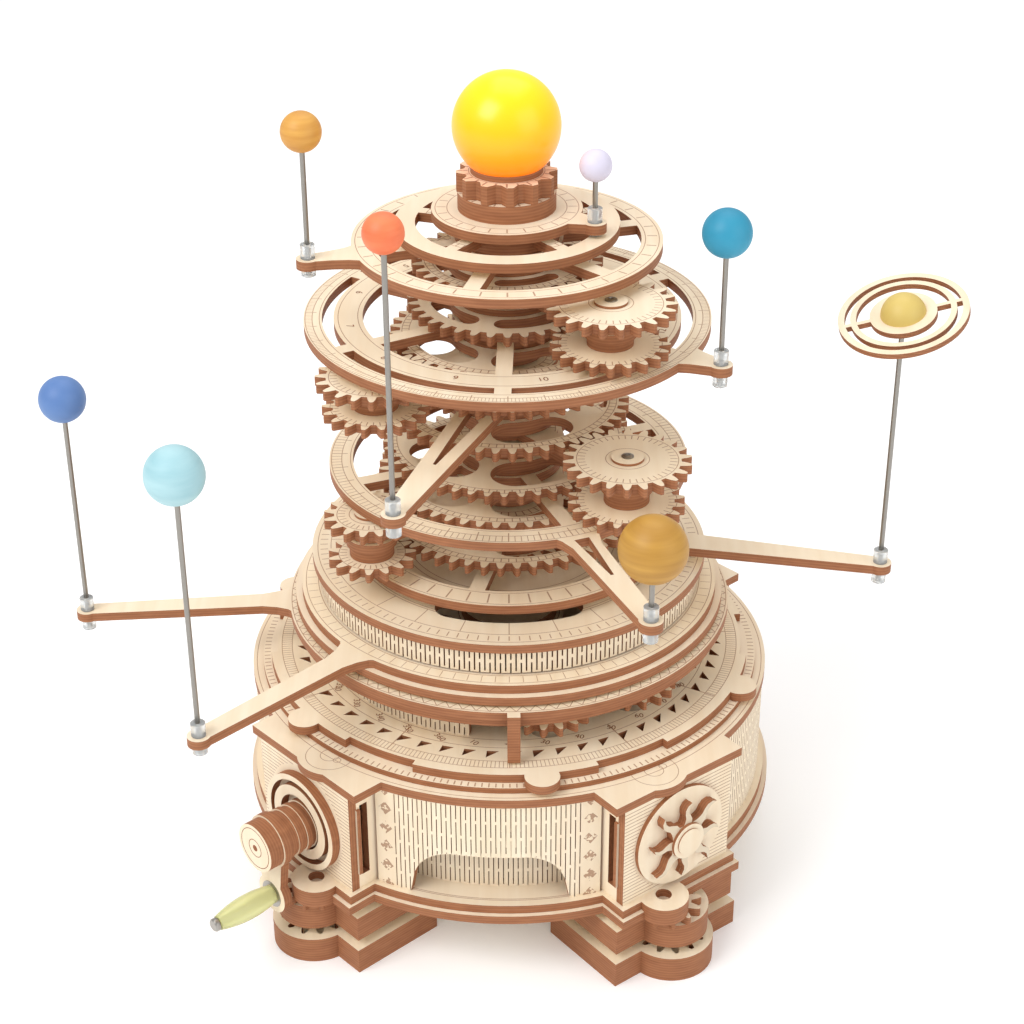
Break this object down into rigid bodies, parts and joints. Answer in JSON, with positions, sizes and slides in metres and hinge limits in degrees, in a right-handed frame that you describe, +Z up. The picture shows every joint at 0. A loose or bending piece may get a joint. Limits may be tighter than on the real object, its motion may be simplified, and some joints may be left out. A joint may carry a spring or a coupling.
{
  "type": "orrery",
  "caption": "Hand-cranked geared orrery of laser-cut plywood: a sun and eight planets on stacked turning rings over a round base with four corner blocks.",
  "frame": {"origin": "middle of the whole model's footprint on the table, arms and crank included; the main axis stands at x 4.7 mm, y 10.6 mm", "axes": "+Z up along the main axis; the front is -Y, the way the curved front panel faces"},
  "size_m": [0.2833, 0.2034, 0.2704],
  "materials": {
    "plywood": "laser-cut birch plywood, sanded",
    "steel": "satin",
    "tube_wood": "plain",
    "sun_yellow": "satin",
    "post_steel": "satin rod with clear collars",
    "handle_plastic": "translucent",
    "mercury_colour": "matte",
    "venus_colour": "matte",
    "earth_colour": "matte",
    "mars_colour": "matte",
    "jupiter_colour": "matte",
    "saturn_colour": "matte",
    "uranus_colour": "matte",
    "neptune_colour": "matte"
  },
  "bodies": {
    "base": {"feet": "plywood", "base_floor": "plywood", "lattice_panels": "plywood", "block_sides": "plywood", "block_faces": "plywood", "sun_emblems": "plywood", "base_top_plate": "plywood", "dial_support": "plywood", "date_dial": "plywood", "inner_drum": "plywood", "deck_plate": "plywood", "deck_skirt": "plywood", "spindle_tube": "tube_wood", "column_brackets": "plywood"},
    "drive": {"drive_rod": "steel", "peg_wheel": "plywood", "drive_gears": "plywood", "sun_cup": "plywood", "sun_globe": "sun_yellow", "mercury_arm": "plywood", "mercury_post": "post_steel", "mercury_ball": "mercury_colour"},
    "venus": {"venus_arm": "plywood", "venus_post": "post_steel", "venus_ball": "venus_colour", "venus_hub": "plywood"},
    "earth": {"earth_arm": "plywood", "earth_post": "post_steel", "earth_ball": "earth_colour", "earth_hub": "plywood"},
    "mars": {"mars_arm": "plywood", "mars_post": "post_steel", "mars_ball": "mars_colour", "mars_hub": "plywood"},
    "jupiter": {"jupiter_arm": "plywood", "jupiter_post": "post_steel", "jupiter_ball": "jupiter_colour", "jupiter_hub": "plywood"},
    "saturn": {"saturn_arm": "plywood", "saturn_post": "post_steel", "saturn_ball": "saturn_colour", "saturn_hub": "plywood", "saturn_rings": "plywood"},
    "uranus": {"uranus_arm": "plywood", "uranus_post": "post_steel", "uranus_ball": "uranus_colour"},
    "neptune": {"neptune_arm": "plywood", "neptune_post": "post_steel", "neptune_ball": "neptune_colour"},
    "column_0": {"column_0": "plywood"},
    "column_1": {"column_1": "plywood"},
    "column_2": {"column_2": "plywood"},
    "column_3": {"column_3": "plywood"},
    "column_4": {"column_4": "plywood"},
    "neptune_roller": {"neptune_roller": "plywood"},
    "uranus_roller": {"uranus_roller": "plywood"},
    "crank": {"crank_shaft": "plywood", "crank_arm": "plywood"},
    "handle": {"handle": "handle_plastic"}
  },
  "joints": [
    {"name": "drive_turn", "type": "hinge", "parent": "base", "child": "drive", "pos_m": [0.0047, 0.0106, 0.03], "axis": [0, 0, 1], "continuous": true},
    {"name": "venus_turn", "type": "hinge", "parent": "base", "child": "venus", "pos_m": [0.0047, 0.0106, 0.2157], "axis": [0, 0, 1], "continuous": true},
    {"name": "earth_turn", "type": "hinge", "parent": "base", "child": "earth", "pos_m": [0.0047, 0.0106, 0.1907], "axis": [0, 0, 1], "continuous": true},
    {"name": "mars_turn", "type": "hinge", "parent": "base", "child": "mars", "pos_m": [0.0047, 0.0106, 0.168], "axis": [0, 0, 1], "continuous": true},
    {"name": "jupiter_turn", "type": "hinge", "parent": "base", "child": "jupiter", "pos_m": [0.0047, 0.0106, 0.141], "axis": [0, 0, 1], "continuous": true},
    {"name": "saturn_turn", "type": "hinge", "parent": "base", "child": "saturn", "pos_m": [0.0047, 0.0106, 0.1156], "axis": [0, 0, 1], "continuous": true},
    {"name": "uranus_turn", "type": "hinge", "parent": "base", "child": "uranus", "pos_m": [0.0047, 0.0106, 0.097], "axis": [0, 0, 1], "continuous": true},
    {"name": "neptune_turn", "type": "hinge", "parent": "base", "child": "neptune", "pos_m": [0.0047, 0.0106, 0.09], "axis": [0, 0, 1], "continuous": true},
    {"name": "column_0_turn", "type": "hinge", "parent": "base", "child": "column_0", "pos_m": [0.01872, 0.03489, 0.102], "axis": [0, 0, 1], "continuous": true},
    {"name": "column_1_turn", "type": "hinge", "parent": "base", "child": "column_1", "pos_m": [-0.03813, -0.02167, 0.123], "axis": [0, 0, 1], "continuous": true},
    {"name": "column_2_turn", "type": "hinge", "parent": "base", "child": "column_2", "pos_m": [0.0406, -0.03143, 0.147], "axis": [0, 0, 1], "continuous": true},
    {"name": "column_3_turn", "type": "hinge", "parent": "base", "child": "column_3", "pos_m": [-0.03512, -0.02281, 0.175], "axis": [0, 0, 1], "continuous": true},
    {"name": "column_4_turn", "type": "hinge", "parent": "base", "child": "column_4", "pos_m": [0.03501, -0.02427, 0.196], "axis": [0, 0, 1], "continuous": true},
    {"name": "neptune_roller_turn", "type": "hinge", "parent": "base", "child": "neptune_roller", "pos_m": [0.01636, -0.04427, 0.081], "axis": [0, 0, 1], "continuous": true},
    {"name": "uranus_roller_turn", "type": "hinge", "parent": "base", "child": "uranus_roller", "pos_m": [0.04332, -0.03009, 0.081], "axis": [0, 0, 1], "continuous": true},
    {"name": "crank_turn", "type": "hinge", "parent": "base", "child": "crank", "pos_m": [-0.0619, -0.05586, 0.046], "axis": [-0.7373, -0.6756, 0], "continuous": true},
    {"name": "handle_spin", "type": "hinge", "parent": "crank", "child": "handle", "pos_m": [-0.07259, -0.06565, 0.025], "axis": [-0.7373, -0.6756, 0], "continuous": true}
  ],
  "couplings": [
    {"joint": "column_0_turn", "follows": "drive_turn", "ratio": -0.54545},
    {"joint": "saturn_turn", "follows": "drive_turn", "ratio": 0.22727},
    {"joint": "column_1_turn", "follows": "drive_turn", "ratio": -0.75758},
    {"joint": "jupiter_turn", "follows": "drive_turn", "ratio": 0.24737},
    {"joint": "column_2_turn", "follows": "drive_turn", "ratio": -0.58132},
    {"joint": "mars_turn", "follows": "drive_turn", "ratio": 0.2842},
    {"joint": "column_3_turn", "follows": "drive_turn", "ratio": -0.71051},
    {"joint": "earth_turn", "follows": "drive_turn", "ratio": 0.33047},
    {"joint": "column_4_turn", "follows": "drive_turn", "ratio": -0.59484},
    {"joint": "venus_turn", "follows": "drive_turn", "ratio": 0.3849},
    {"joint": "neptune_roller_turn", "follows": "drive_turn", "ratio": -3.25},
    {"joint": "uranus_roller_turn", "follows": "drive_turn", "ratio": -3.25},
    {"joint": "neptune_turn", "follows": "drive_turn", "ratio": -0.41667},
    {"joint": "uranus_turn", "follows": "drive_turn", "ratio": -0.4875},
    {"joint": "crank_turn", "follows": "drive_turn", "ratio": 3.75}
  ]
}
